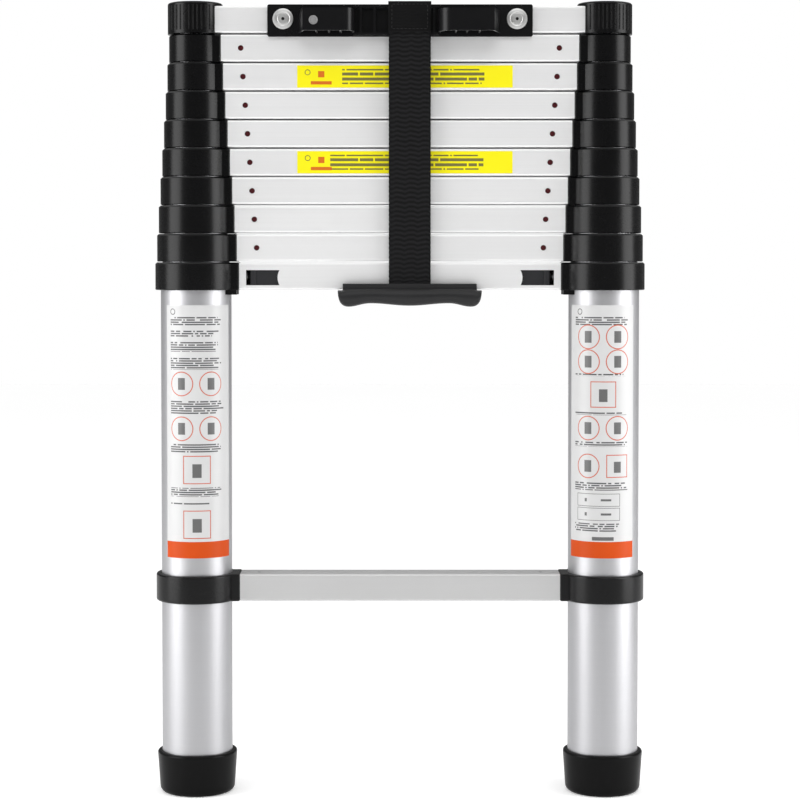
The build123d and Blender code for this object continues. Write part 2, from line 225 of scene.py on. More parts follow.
def shade(values, share):
    """The same colour, lighter or darker."""
    return (*[min(1.0, v * share) for v in values[:3]], 1.0)


def dress(finish, *nodes):
    """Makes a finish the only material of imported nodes."""
    for node in nodes:
        mesh = NODES[node].data
        mesh.materials.clear()
        mesh.materials.append(finish.material)


# ---- modelling by hand ----

def clear():
    """Back to object mode with nothing selected."""
    if bpy.context.object and bpy.context.object.mode != "OBJECT":
        bpy.ops.object.mode_set(mode="OBJECT")
    bpy.ops.object.select_all(action="DESELECT")


def begin(name):
    """Names the primitive just added and opens it in edit mode with nothing selected."""
    piece = bpy.context.object
    piece.name = name
    piece.data.name = name
    bpy.ops.object.transform_apply(location=True, rotation=True, scale=True)
    bpy.ops.object.mode_set(mode="EDIT")
    bpy.ops.mesh.select_all(action="DESELECT")
    return piece


def pick(piece, kind, test):
    """Selects the edit-mode verts, edges or faces whose middle and element pass a test."""
    bpy.ops.mesh.select_mode(type={"verts": "VERT", "edges": "EDGE", "faces": "FACE"}[kind])
    bpy.ops.mesh.select_all(action="DESELECT")
    mesh = bmesh.from_edit_mesh(piece.data)
    mesh.normal_update()
    found = False
    for element in getattr(mesh, kind):
        if kind == "verts":
            middle = element.co
        elif kind == "edges":
            middle = (element.verts[0].co + element.verts[1].co) / 2
        else:
            middle = element.calc_center_median()
        if test(middle, element):
            element.select_set(True)
            found = True
    mesh.select_flush_mode()
    bmesh.update_edit_mesh(piece.data)
    if not found:
        raise RuntimeError(f"nothing to select on {piece.name}")


def modify(piece, kind, **settings):
    """Adds a modifier and applies it."""
    modifier = piece.modifiers.new(kind.lower(), kind)
    for name, value in settings.items():
        setattr(modifier, name, value)
    bpy.ops.object.modifier_apply(modifier=modifier.name)


def finish_piece(piece, finish, body, angle):
    """Closes a piece: outward faces, smooth shading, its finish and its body."""
    if piece.mode != "EDIT":
        bpy.ops.object.mode_set(mode="EDIT")
    bpy.ops.mesh.select_all(action="SELECT")
    bpy.ops.mesh.normals_make_consistent(inside=False)
    bpy.ops.object.mode_set(mode="OBJECT")
    bpy.ops.object.shade_smooth_by_angle(angle=math.radians(angle))
    piece.data.materials.clear()
    piece.data.materials.append(finish.material)
    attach(piece, body)
    clear()
    return piece


# ---- sizes and colours a maker would change ----

def metres(name, description, default, low, high, precision=4):
    return FloatProperty(
        name=name, description=description, default=default, min=low, max=high, precision=precision,
        unit="LENGTH")


def radians(name, description, default, low, high):
    return FloatProperty(
        name=name, description=description, default=default, min=low, max=high, subtype="ANGLE",
        unit="ROTATION")


def watts(name, description, default):
    return FloatProperty(name=name, description=description, default=default, min=0, max=1000, unit="POWER")


def brightness(name, description, default, high):
    return FloatProperty(name=name, description=description, default=default, min=0, max=high)


def swatch(name, description, *colour):
    return FloatVectorProperty(
        name=name, description=description, default=colour, min=0, max=1, subtype="COLOR")


class LadderMetals(bpy.types.PropertyGroup):
    tube: swatch("Tube", "Anodised colour of the stile tubes", 0.54, 0.54, 0.555)
    rung: swatch("Rung", "Colour of the extruded rungs", 0.95, 0.95, 0.95)
    bottom_rung: swatch("Bottom rung", "Colour of the fixed rung, a greyer extrusion", 0.66, 0.66, 0.66)
    steel: swatch("Steel", "Colour of pins, springs and rivets", 0.62, 0.62, 0.63)
    draw_lines: metres(
        "Draw lines", "Depth of the fine lines that drawing leaves on a tube", 0.00004, 0, 0.001, 6)


class LadderPlastics(bpy.types.PropertyGroup):
    collar: swatch("Collar", "Black of the collars and end caps", 0.0018, 0.0018, 0.0020)
    bracket: swatch("Bracket", "Black of the carrying bracket", 0.0045, 0.0045, 0.005)
    slider: swatch("Slider", "Dark grey of the release sliders", 0.020, 0.020, 0.022)
    rubber: swatch("Rubber", "Black of the rubber feet", 0.0018, 0.0018, 0.0019)
    indicator: swatch("Indicator", "Red of the lock indicators", 0.085, 0.005, 0.009)
    grain: metres("Grain", "Spacing of the moulded texture", 0.0007, 0.0001, 0.01, 5)


class LadderWebbing(bpy.types.PropertyGroup):
    thickness: metres("Thickness", "Thickness of the webbing", 0.0016, 0.0005, 0.004)
    corner: metres("Corner", "Bend radius where the strap goes round an edge", 0.0024, 0.0009, 0.01)
    rib: metres("Rib", "Weft ribs, one to the next along the strap", 0.0045, 0.002, 0.01)
    rib_height: metres("Rib height", "How far a rib stands out", 0.00055, 0, 0.001, 5)
    lap: metres("Lap", "Height of the sewn lap at the top", 0.029, 0.01, 0.08)
    stitch: metres("Stitch", "Length of one stitch", 0.0026, 0.001, 0.006)
    columns: IntProperty(
        name="Columns", description="Mesh columns across the webbing", default=32, min=8, max=64)
    colour: swatch("Colour", "Black of the webbing", 0.004, 0.004, 0.0043)


class LadderGrip(bpy.types.PropertyGroup):
    flange: metres("Flange", "Length of the flat flange above the handle", 0.128, 0.05, 0.3)
    end_drop: metres("End drop", "Handle's ends below the flange's top edge", 0.0064, 0.001, 0.02)
    scallop: metres("Scallop", "Depth of the two finger hollows", 0.0034, 0, 0.008)
    belly: metres("Belly", "Handle's middle above its lowest points", 0.0010, 0, 0.008)
    crown: metres("Crown", "How far the handle swells up in front of its flange", 0.0022, 0, 0.006)
    hollow_place: metres("Hollow place", "Finger hollows from the grip's middle", 0.038, 0.01, 0.06)
    lobe_place: metres("Lobe place", "End lobes from the grip's middle", 0.0585, 0.02, 0.1)
    colour: swatch("Colour", "Dark grey of the grip", 0.017, 0.017, 0.0178)


class LadderLabels(bpy.types.PropertyGroup):
    film: metres("Film", "Thickness of the label film", 0.00015, 0.00005, 0.001, 5)
    spread: radians("Spread", "Half the angle that a tube label wraps", math.radians(60), 0.1, 2.0)
    turn: radians(
        "Turn", "How far a tube label is turned towards the ladder's middle", math.radians(11), -1.0, 1.0)
    below_collar: metres(
        "Below collar", "Tube label's top edge below the release rung's middle", 0.0275, 0.02, 0.1)
    length: metres("Length", "Height of the white tube label", 0.2262, 0.05, 0.26)
    band: metres("Band", "Height of the coloured band under it", 0.0158, 0.005, 0.05)
    notice_place: metres(
        "Notice place", "Rung labels to the right of the ladder's middle", 0.0047, -0.05, 0.05)
    notice_width: metres("Notice width", "Width of the yellow label on a rung", 0.206, 0.05, 0.3)
    notice_height: metres("Notice height", "Height of the yellow label on a rung", 0.0212, 0.005, 0.025)
    paper: swatch("Paper", "White of the tube labels", 0.64, 0.64, 0.64)
    band_colour: swatch("Band colour", "Orange of the band", 0.62, 0.075, 0.008)
    notice: swatch("Notice", "Yellow of the rung labels", 0.92, 0.83, 0.0)
    print_colour: swatch("Print", "Grey of the placeholder bars", 0.05, 0.05, 0.05)


class LadderFasteners(bpy.types.PropertyGroup):
    washer: metres("Washer radius", "Radius of the bracket's washers", 0.0098, 0.004, 0.02)
    washer_height: metres("Washer height", "Thickness of a washer", 0.0014, 0.0005, 0.004)
    mandrel_hole: metres("Mandrel hole", "Radius of a blind rivet's open middle", 0.0015, 0.0005, 0.003)
    plating: swatch("Plating", "Bright zinc plating", 0.82, 0.82, 0.81)
    button: swatch("Button", "Worn grey of the small button", 0.22, 0.22, 0.22)


class LadderStudio(bpy.types.PropertyGroup):
    distance: metres("Camera distance", "Camera in front of the stiles' plane", 2.10, 0.5, 10, 2)
    height: metres("Camera height", "Camera above the floor", 0.514, 0, 3)
    lens: FloatProperty(
        name="Lens", description="Focal length on a 36 mm sensor", default=97.73,
        min=20, max=300, unit="CAMERA")
    rise: FloatProperty(
        name="Rise", description="Vertical shift of the lens", default=-0.0782, min=-0.5, max=0.5,
        precision=4)
    pitch: radians("Camera pitch", "How far the camera looks down", math.radians(2.0), 0, 1)
    floor_width: metres("Floor width", "Side of the square floor", 14.0, 2, 50, 2)
    floor_colour: swatch("Floor colour", "Pale floor", 0.93, 0.93, 0.93)
    floor_glow: brightness("Floor glow", "Light that the floor adds to what the camera sees of it", 0.30, 2)
    side_power: watts("Side lights", "Power of each tall side light", 27.0)
    front_power: watts("Front light", "Power of the broad front light", 9.0)
    surround_front: brightness("Surround in front", "Brightness of the studio before the ladder", 0.10, 10)
    surround_back: brightness("Surround behind", "Brightness of the studio behind the ladder", 0.16, 10)
    surround_above: brightness("Surround above", "Brightness of the studio's ceiling", 1.05, 10)


GROUPS = {f"ladder_{group.__name__.removeprefix('Ladder').lower()}": group for group in (
    LadderMetals, LadderPlastics, LadderWebbing, LadderGrip, LadderLabels, LadderFasteners, LadderStudio)}


# ---- finishes ----

def drawn_tube_finish(metals):
    """Satin anodised tube: fine lines along it, faint rings round it, a slight mottle."""
    finish = Finish("tube_aluminium", Metallic=1.0)
    along = finish.noise(1.0, 3.0, finish.place((700, 700, 5)))
    round_it = finish.noise(1.0, 2.0, finish.place((12, 12, 900)))
    mottle = finish.noise(9.0, 3.0)
    tone = along * 0.35 + round_it * 0.35 + mottle * 0.30
    finish.colour(finish.blend(tone, shade(metals.tube, 0.94), shade(metals.tube, 1.05)))
    finish.roughness(0.39 + along * 0.07 + mottle * 0.05)
    finish.bump(along * 0.6 + round_it * 0.4, 0.35, metals.draw_lines)
    return finish


def rung_finish(metals, name, colour, roughness, metallic):
    """Extruded rung: die lines along it and a satin, slightly cloudy anodising."""
    finish = Finish(name, Metallic=metallic)
    lines = finish.noise(1.0, 3.0, finish.place((4, 650, 650)))
    cloud = finish.noise(14.0, 2.0, finish.place((0.6, 1, 1)))
    tone = lines * 0.55 + cloud * 0.45
    finish.colour(finish.blend(tone, shade(colour, 0.95), shade(colour, 1.05)))
    finish.roughness(roughness + lines * 0.08 + cloud * 0.04)
    finish.bump(lines, 0.35, metals.draw_lines)
    return finish


def moulded_finish(name, colour, grain, roughness, depth=0.00004, gloss=0.26):
    """Moulded plastic: a fine even grain, and handling marks that dull it in patches."""
    finish = Finish(name, Specular_IOR_Level=gloss)
    texture = finish.noise(1.0 / grain, 1.0)
    wear = finish.noise(22.0, 4.0, roughness=0.6)
    finish.colour(finish.blend(wear, shade(colour, 0.8), shade(colour, 1.35)))
    finish.roughness(roughness + wear * 0.10 + texture * 0.04)
    finish.bump(texture, 0.4, depth)
    return finish


def turned_steel_finish(metals, name, indicator=None):
    """Turned steel: fine lines round the pin's axis, along X, and an indicator painted on its front."""
    finish = Finish(name, Metallic=1.0)
    lines = finish.noise(1.0, 2.0, finish.place((2600, 60, 60)))
    colour = finish.blend(lines, shade(metals.steel, 0.86), shade(metals.steel, 1.08))
    if indicator is not None:
        x, y, z = finish.axes()
        painted = y < INDICATOR_BACK
        colour = finish.blend(painted, colour, rgb(indicator))
        finish.feed(finish.shader.inputs["Metallic"], 1 - painted)
    finish.colour(colour)
    finish.roughness(0.24 + lines * 0.16)
    finish.bump(lines, 0.3, 0.00003)
    return finish


def speckled_finish(name, colour, scale, shades, roughness, relief=None, detail=2.0, **constants):
    """Fine specks: shades holds their darkest and lightest share, roughness its least and its spread."""
    finish = Finish(name, **constants)
    specks = finish.noise(scale, detail)
    darkest, lightest = [shade(colour, share) for share in shades]
    finish.colour(finish.blend(specks, darkest, lightest))
    least, spread = roughness
    finish.roughness(least + specks * spread)
    if relief:
        finish.bump(specks, *relief)
    return finish


class LADDER_OT_tubes(bpy.types.Operator):
    """Gives every stile tube its drawn, satin anodised finish"""
    bl_idname = "ladder.tubes"
    bl_label = "Tubes"

    def execute(self, context):
        finish = drawn_tube_finish(context.scene.ladder_metals)
        dress(finish, "base_tubes", *[f"section_{k}_tubes" for k in range(1, TOP + 1)])
        return {"FINISHED"}


class LADDER_OT_rungs(bpy.types.Operator):
    """Gives the rungs their extruded finish, greyer on the fixed bottom rung"""
    bl_idname = "ladder.rungs"
    bl_label = "Rungs"

    def execute(self, context):
        metals = context.scene.ladder_metals
        finish = rung_finish(metals, "rung_aluminium", metals.rung, 0.40, 0.6)
        dress(finish, "release_rung", "top_rung", *[f"section_{k}_rung" for k in SECTIONS])
        dress(rung_finish(metals, "bottom_rung_aluminium", metals.bottom_rung, 0.46, 0.9), "bottom_rung")
        rivets = speckled_finish(
            "rivet_steel", metals.steel, 1600.0, (0.45, 0.75), (0.35, 0.2), Metallic=1.0)
        dress(rivets, "bottom_rung_rivets")
        return {"FINISHED"}


class LADDER_OT_collars(bpy.types.Operator):
    """Gives the collars, bushes, end caps and feet their moulded finishes"""
    bl_idname = "ladder.collars"
    bl_label = "Collars, caps and feet"

    def execute(self, context):
        plastics = context.scene.ladder_plastics
        collar = moulded_finish("collar_plastic", plastics.collar, plastics.grain, 0.20)
        dress(collar, "base_collars", "bottom_rung_collars", "end_caps_and_bushes",
              *[f"section_{k}_collars_and_bushes" for k in SECTIONS])
        rubber = moulded_finish("foot_rubber", plastics.rubber, plastics.grain * 1.4, 0.24, 0.00006, 0.13)
        dress(rubber, "feet")
        return {"FINISHED"}


class LADDER_OT_locks(bpy.types.Operator):
    """Finishes the lock pins with their red indicators, the release sliders and their springs"""
    bl_idname = "ladder.locks"
    bl_label = "Locks"

    def execute(self, context):
        metals = context.scene.ladder_metals
        plastics = context.scene.ladder_plastics
        pin = turned_steel_finish(metals, "lock_pins", plastics.indicator)
        plain = turned_steel_finish(metals, "release_pins")
        slider = moulded_finish("slider_plastic", plastics.slider, plastics.grain, 0.40)
        spring = speckled_finish(
            "spring_steel", metals.steel, 900.0, (0.55, 0.85), (0.26, 0.14), Metallic=1.0)
        for side in ("left", "right"):
            dress(pin, *[f"section_{k}_lock_pin_{side}" for k in SECTIONS])
            dress(plain, f"release_lock_pin_{side}")
            dress(slider, f"release_slider_{side}")
            dress(spring, f"release_spring_{side}")
        return {"FINISHED"}


class LADDER_OT_bracket(bpy.types.Operator):
    """Gives the carrying bracket its moulded finish"""
    bl_idname = "ladder.bracket"
    bl_label = "Carrying bracket"

    def execute(self, context):
        plastics = context.scene.ladder_plastics
        dress(moulded_finish("bracket_plastic", plastics.bracket, plastics.grain, 0.22), "strap_bracket")
        return {"FINISHED"}


# ---- fasteners ----

def raised_disc(name, radius, height, x, z, face, steps):
    """A disc that faces the front, shaped by insets: (inset, rise) pairs from its rim inwards."""
    clear()
    bpy.ops.mesh.primitive_cylinder_add(
        vertices=48, radius=radius, depth=height, location=(x, face + height / 2, z),
        rotation=(math.pi / 2, 0, 0))
    piece = begin(name)
    pick(piece, "faces", lambda middle, f: f.normal.y < -0.9)
    for thickness, rise in steps:
        bpy.ops.mesh.inset(thickness=thickness, depth=rise)
    return piece


# (inset, rise) steps from the rim inwards: the washer's dome and groove, the rivet's pit, the button
WASHER_CROWN = 0.0006
WASHER_STEPS = ((0.0007, 0.0002), (0.0022, 0.00025), (0.0006, -0.0003), (0.0010, 0.0), (0.0004, 0.0004))
PIT_STEPS = ((0.0002, -0.0003), (0.0001, -0.0012))
BUTTON_STEPS = ((0.0004, 0.0), (0.0007, -0.0004), (0.0008, 0.00025), (0.0010, 0.0001))
BUTTON_X, BUTTON_DROP = -0.0816, 0.00405
BUTTON_RADIUS, BUTTON_HEIGHT = 0.00425, 0.0009


class LADDER_OT_fasteners(bpy.types.Operator):
    """Models the bracket's two domed washers with their blind rivets, with painted shade in the rivets'
    holes, and the small button
    """
    bl_idname = "ladder.fasteners"
    bl_label = "Bracket fasteners"

    def execute(self, context):
        sizes = context.scene.ladder_fasteners
        plating = Finish("fasteners", Metallic=1.0)
        x, y, z = plating.axes()
        spacing = FASTENER_HIGH.x - sizes.washer
        middle_z = TOP_RUNG_MIDDLE_Z
        off = (x.size() - spacing) * (x.size() - spacing) + (z - middle_z) * (z - middle_z)
        rings = plating.noise(1.0, 2.0, plating.node(
            "ShaderNodeCombineXYZ", None, {0: off.root() * 4200.0}))
        spots = plating.noise(500.0, 3.0)
        tone = rings * 0.6 + spots * 0.4
        plating.colour(plating.blend(tone, shade(sizes.plating, 0.88), shade(sizes.plating, 1.08)))
        plating.roughness(0.30 + rings * 0.16)
        plating.bump(rings, 0.3, 0.00004)
        hole = sizes.mandrel_hole
        head = sizes.washer - sum(inset for inset, rise in WASHER_STEPS) - hole
        steps = [*WASHER_STEPS, (head, 0.0002), *PIT_STEPS]
        washers = []
        for side, name in ((1, "bracket_washer_right"), (-1, "bracket_washer_left")):
            body_height = sizes.washer_height - WASHER_CROWN
            piece = raised_disc(name, sizes.washer, body_height, side * spacing, middle_z,
                                PLATE_FRONT - body_height, steps)
            washers.append(finish_piece(piece, plating, "section_9", 28))
        # painted shade: a near-black material on the rivets' open middles stands in for the shade inside
        # the holes
        hole_shade = speckled_finish("rivet_hole", (0.01, 0.01, 0.01), 900.0, (1, 3), (0.6, 0.2))
        for piece in washers:
            piece.data.materials.append(hole_shade.material)
            centre = Vector((math.copysign(spacing, piece.data.vertices[0].co.x), 0, middle_z))
            for face in piece.data.polygons:
                away = Vector((face.center.x - centre.x, 0, face.center.z - centre.z)).length
                if away < hole * 1.02:
                    face.material_index = 1
        worn = speckled_finish(
            "button_plastic", sizes.button, 700.0, (0.8, 1.2), (0.42, 0.2), (0.3, 0.00005), detail=3.0)
        button = raised_disc("bracket_button", BUTTON_RADIUS, BUTTON_HEIGHT, BUTTON_X,
                             middle_z - BUTTON_DROP, FASTENER_LOW.y, BUTTON_STEPS)
        finish_piece(button, worn, "section_9", 28)
        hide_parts("bracket_fasteners")
        return {"FINISHED"}


# ---- strap ----

def rounded_route(corners, radius, step):
    """Points and outward normals round a closed loop of (y, z) corners with rounded bends."""
    points = []
    count = len(corners)
    bends = []
    for i in range(count):
        before, here, after = (Vector(corners[(i + j) % count]) for j in (-1, 0, 1))
        into, out = (here - before).normalized(), (after - here).normalized()
        turn = into.angle(out)
        sign = 1 if into.x * out.y - into.y * out.x > 0 else -1
        setback = radius * math.tan(turn / 2)
        bends.append((here - into * setback, here + out * setback, into, turn, sign))
    for i in range(count):
        start, end, into, turn, sign = bends[i]
        side = Vector((-into.y, into.x)) * sign
        centre = start + side * radius
        pieces = max(2, round(radius * turn / step))
        for j in range(pieces):
            a = sign * turn * j / pieces
            arm = -side * radius
            cos, sin = math.cos(a), math.sin(a)
            arm = Vector((arm.x * cos - arm.y * sin, arm.x * sin + arm.y * cos))
            points.append((centre + arm, arm.normalized() * sign))
        after = bends[(i + 1) % count][0]
        run = after - end
        pieces = max(1, round(run.length / step))
        heading = run.normalized()
        for j in range(pieces):
            points.append((end + run * (j / pieces), Vector((heading.y, -heading.x))))
    return points


def route_turns_in(route):
    """Whether the route's normals point into its loop."""
    middle = sum((p for p, n in route), Vector((0, 0))) / len(route)
    outward = sum((p - middle).dot(n) for p, n in route)
    return outward < 0


def webbing_sheet(name, width, rows, closed, columns, surface):
    """A flat grid bent into webbing: surface(u, row) gives each point and how far its rib rises; that rise
    is stored to paint light and shade, lighter on crests and darker in the hollows.
    """
    clear()
    bpy.ops.mesh.primitive_grid_add(x_subdivisions=columns, y_subdivisions=rows, size=1.0)
    piece = bpy.context.object
    piece.name = name
    piece.data.name = name
    across, along = columns + 1, rows + 1
    rib_light_and_shade = piece.data.attributes.new("rib", "FLOAT", "POINT")
    for vertex in piece.data.vertices:
        i = round((vertex.co.x + 0.5) * (across - 1))
        j = round((vertex.co.y + 0.5) * (along - 1))
        vertex.co, height = surface((i / (across - 1) - 0.5) * width, j % rows if closed else j)
        rib_light_and_shade.data[vertex.index].value = height
    bpy.ops.object.mode_set(mode="EDIT")
    if closed:
        bpy.ops.mesh.select_all(action="SELECT")
        bpy.ops.mesh.remove_doubles(threshold=0.00001)
    bpy.ops.object.mode_set(mode="OBJECT")
    return piece


def webbing_finish(webbing):
    """Black polypropylene webbing: fine warp cords along it, crossed by the weft, with painted highlights
    on the rib crests and painted shade in the hollows and at the selvedges.
    """
    finish = Finish("webbing", Specular_IOR_Level=0.12, Sheen_Weight=0.03, Sheen_Roughness=0.4)
    x, y, z = finish.axes()
    along = z + y
    cords = ((x * (2 * math.pi / 0.0011)).sine() * 0.5 + 0.5)
    picks = ((along * (2 * math.pi / 0.0009)).sine() * 0.5 + 0.5)
    weave = cords * 0.6 + picks * 0.4
    fuzz = finish.noise(2600.0, 2.0)
    fade = finish.noise(35.0, 2.0)
    # painted light and shade: the stored rib rise lightens the crests as highlights and darkens the hollows
    # and selvedges as shade
    rib_light_and_shade = finish.node("ShaderNodeAttribute", {"attribute_name": "rib"}, output="Fac")
    tone = rib_light_and_shade * 0.62 + weave * 0.14 + fuzz * 0.12 + fade * 0.12
    finish.colour(finish.blend(tone, shade(webbing.colour, 0.15), shade(webbing.colour, 3.6)))
    finish.roughness(0.58 + fuzz * 0.25)
    finish.bump(weave * 0.7 + fuzz * 0.3, 0.6, 0.00018)
    return finish


LAP_OVERHANG = 0.0006
LAP_ROWS, LAP_COLUMNS = 44, 28
LAP_ROWS_PER_RIB = 4.4
ROUTE_STEP = 0.00072
RUNG_CLEARANCE = 0.0042
BEND_ABOVE_RUNG = 0.0075
SELVEDGE, LAP_SELVEDGE = 0.0016, 0.002
SLOW_WAVE, QUICK_WAVE = 0.0132, 0.0061


class LADDER_OT_strap(bpy.types.Operator):
    """Models the ribbed webbing loop that ties the closed rungs to the grip, and its sewn lap"""
    bl_idname = "ladder.strap"
    bl_label = "Carrying strap"

    def execute(self, context):
        webbing = context.scene.ladder_webbing
        t = webbing.thickness
        finish = webbing_finish(webbing)
        low, high = STRAP_LOW, STRAP_HIGH
        width = high.x - low.x - 2 * LAP_OVERHANG
        front = low.y + 1.5 * t
        back = high.y - t / 2
        top = high.z - t / 2
        bottom = low.z + t / 2
        lower_run = RUNG_LOW.y - RUNG_CLEARANCE - t / 2
        corners = [(front, top), (back, top), (back, bottom), (lower_run, bottom),
                   (lower_run, RUNG_LOW.z + BEND_ABOVE_RUNG), (front, BRACKET_LOW.z)]
        corners.reverse()
        route = rounded_route(corners, webbing.corner, ROUTE_STEP)
        inward = -1 if route_turns_in(route) else 1
        rows = len(route)
        ribs = round(rows * ROUTE_STEP / webbing.rib)

        def surface(u, row):
            point, normal = route[row]
            wave = 0.16 * math.sin(2 * math.pi * u / SLOW_WAVE + 0.9)
            wave += 0.05 * math.sin(2 * math.pi * u / QUICK_WAVE + row * 0.013)
            rib = 0.5 + 0.5 * math.cos(2 * math.pi * (row * ribs / rows + wave))
            edge = min(1.0, (width / 2 - abs(u)) / SELVEDGE)
            lift = webbing.rib_height * (rib ** 1.4) * edge - 0.00012 * (1 - edge)
            away = point + normal * inward * lift
            # the second value is the rib rise, which paints highlights on crests and shade in hollows and
            # at the selvedges
            return Vector((STRAP_X + u, away.x, away.y)), rib ** 1.4 * edge

        strap = webbing_sheet("carry_strap_webbing", width, rows, True, webbing.columns, surface)
        modify(strap, "SOLIDIFY", thickness=t * 0.86, offset=0.0)
        finish_piece(strap, finish, "section_9", 60)
        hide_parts("carry_strap")

        lap_low = high.z - webbing.lap
        lap_front = low.y + t / 2

        def lap_surface(u, row):
            share = row / LAP_ROWS
            rib = 0.5 + 0.5 * math.cos(2 * math.pi * (row / LAP_ROWS_PER_RIB + 0.12 * math.sin(u / 0.0021)))
            edge = min(1.0, (width / 2 + LAP_OVERHANG - abs(u)) / LAP_SELVEDGE)
            seam = math.exp(-((share - 0.10) / 0.04) ** 2) + math.exp(-((share - 0.90) / 0.04) ** 2)
            lift = 0.00010 * rib - 0.00022 * seam - 0.0003 * (1 - edge)
            # the second value is a faint rib rise, which paints light on the lap's ribs and shade between
            # them
            return Vector((STRAP_X + u, lap_front - lift, lap_low + webbing.lap * share)), 0.12 * rib

        lap = webbing_sheet(
            "carry_strap_lap", width + 2 * LAP_OVERHANG, LAP_ROWS, False, LAP_COLUMNS, lap_surface)
        modify(lap, "SOLIDIFY", thickness=t * 0.9, offset=0.0)
        modify(lap, "BEVEL", width=0.0004, segments=2, limit_method="ANGLE", angle_limit=math.radians(50))
        finish_piece(lap, finish, "section_9", 60)
        return {"FINISHED"}


THREAD_RADIUS = 0.00026


class LADDER_OT_stitching(bpy.types.Operator):
    """Sews the lap down with rows of thread stitches"""
    bl_idname = "ladder.stitching"
    bl_label = "Lap stitching"

    def execute(self, context):
        webbing = context.scene.ladder_webbing
        thread = speckled_finish(
            "webbing_thread", webbing.colour, 4200.0, (1.2, 4.5), (0.45, 0.2), (0.5, 0.00008),
            Specular_IOR_Level=0.4)
        face = STRAP_LOW.y - SKIN
        low_row = STRAP_HIGH.z - webbing.lap * 0.90
        high_row = STRAP_HIGH.z - webbing.lap * 0.10
        half = (STRAP_HIGH.x - STRAP_LOW.x) / 2 - 0.0034
        pitch = webbing.stitch * 1.32
        places = []
        count = int(2 * half / pitch)
        for i in range(count):
            x = STRAP_X - half + (i + 0.5) * 2 * half / count
            places += [(x, low_row, False), (x, high_row, False)]
        rise = high_row - low_row
        count = int(rise / pitch)
        for i in range(count):
            z = low_row + (i + 0.5) * rise / count
            places += [(STRAP_X - half, z, True), (STRAP_X + half, z, True)]
        clear()
        bpy.ops.mesh.primitive_cylinder_add(
            vertices=8, radius=THREAD_RADIUS, depth=webbing.stitch * 0.6, location=(0, 0, 0))
        first = begin("lap_stitching")
        for end in (1, -1):
            pick(first, "faces", lambda middle, f: f.normal.z * end > 0.9)
            bpy.ops.mesh.extrude_region_move(
                TRANSFORM_OT_translate={"value": (0, 0.0001, end * webbing.stitch * 0.2)})
            bpy.ops.transform.resize(value=(0.45, 0.45, 0.45))
        bpy.ops.object.mode_set(mode="OBJECT")
        made = []
        for x, z, upright in places:
            piece = first.copy()
            piece.data = first.data.copy()
            bpy.context.scene.collection.objects.link(piece)
            piece.rotation_euler = (0, 0, 0) if upright else (0, math.pi / 2, 0)
            piece.location = (x, face, z)
            made.append(piece)
        bpy.data.objects.remove(first, do_unlink=True)
        for piece in made:
            piece.select_set(True)
        bpy.context.view_layer.objects.active = made[0]
        bpy.ops.object.join()
        piece = bpy.context.object
        piece.name = "lap_stitching"
        piece.data.name = "lap_stitching"
        bpy.ops.object.transform_apply(location=True, rotation=True, scale=True)
        finish_piece(piece, thread, "section_9", 60)
        return {"FINISHED"}


# ---- grip ----

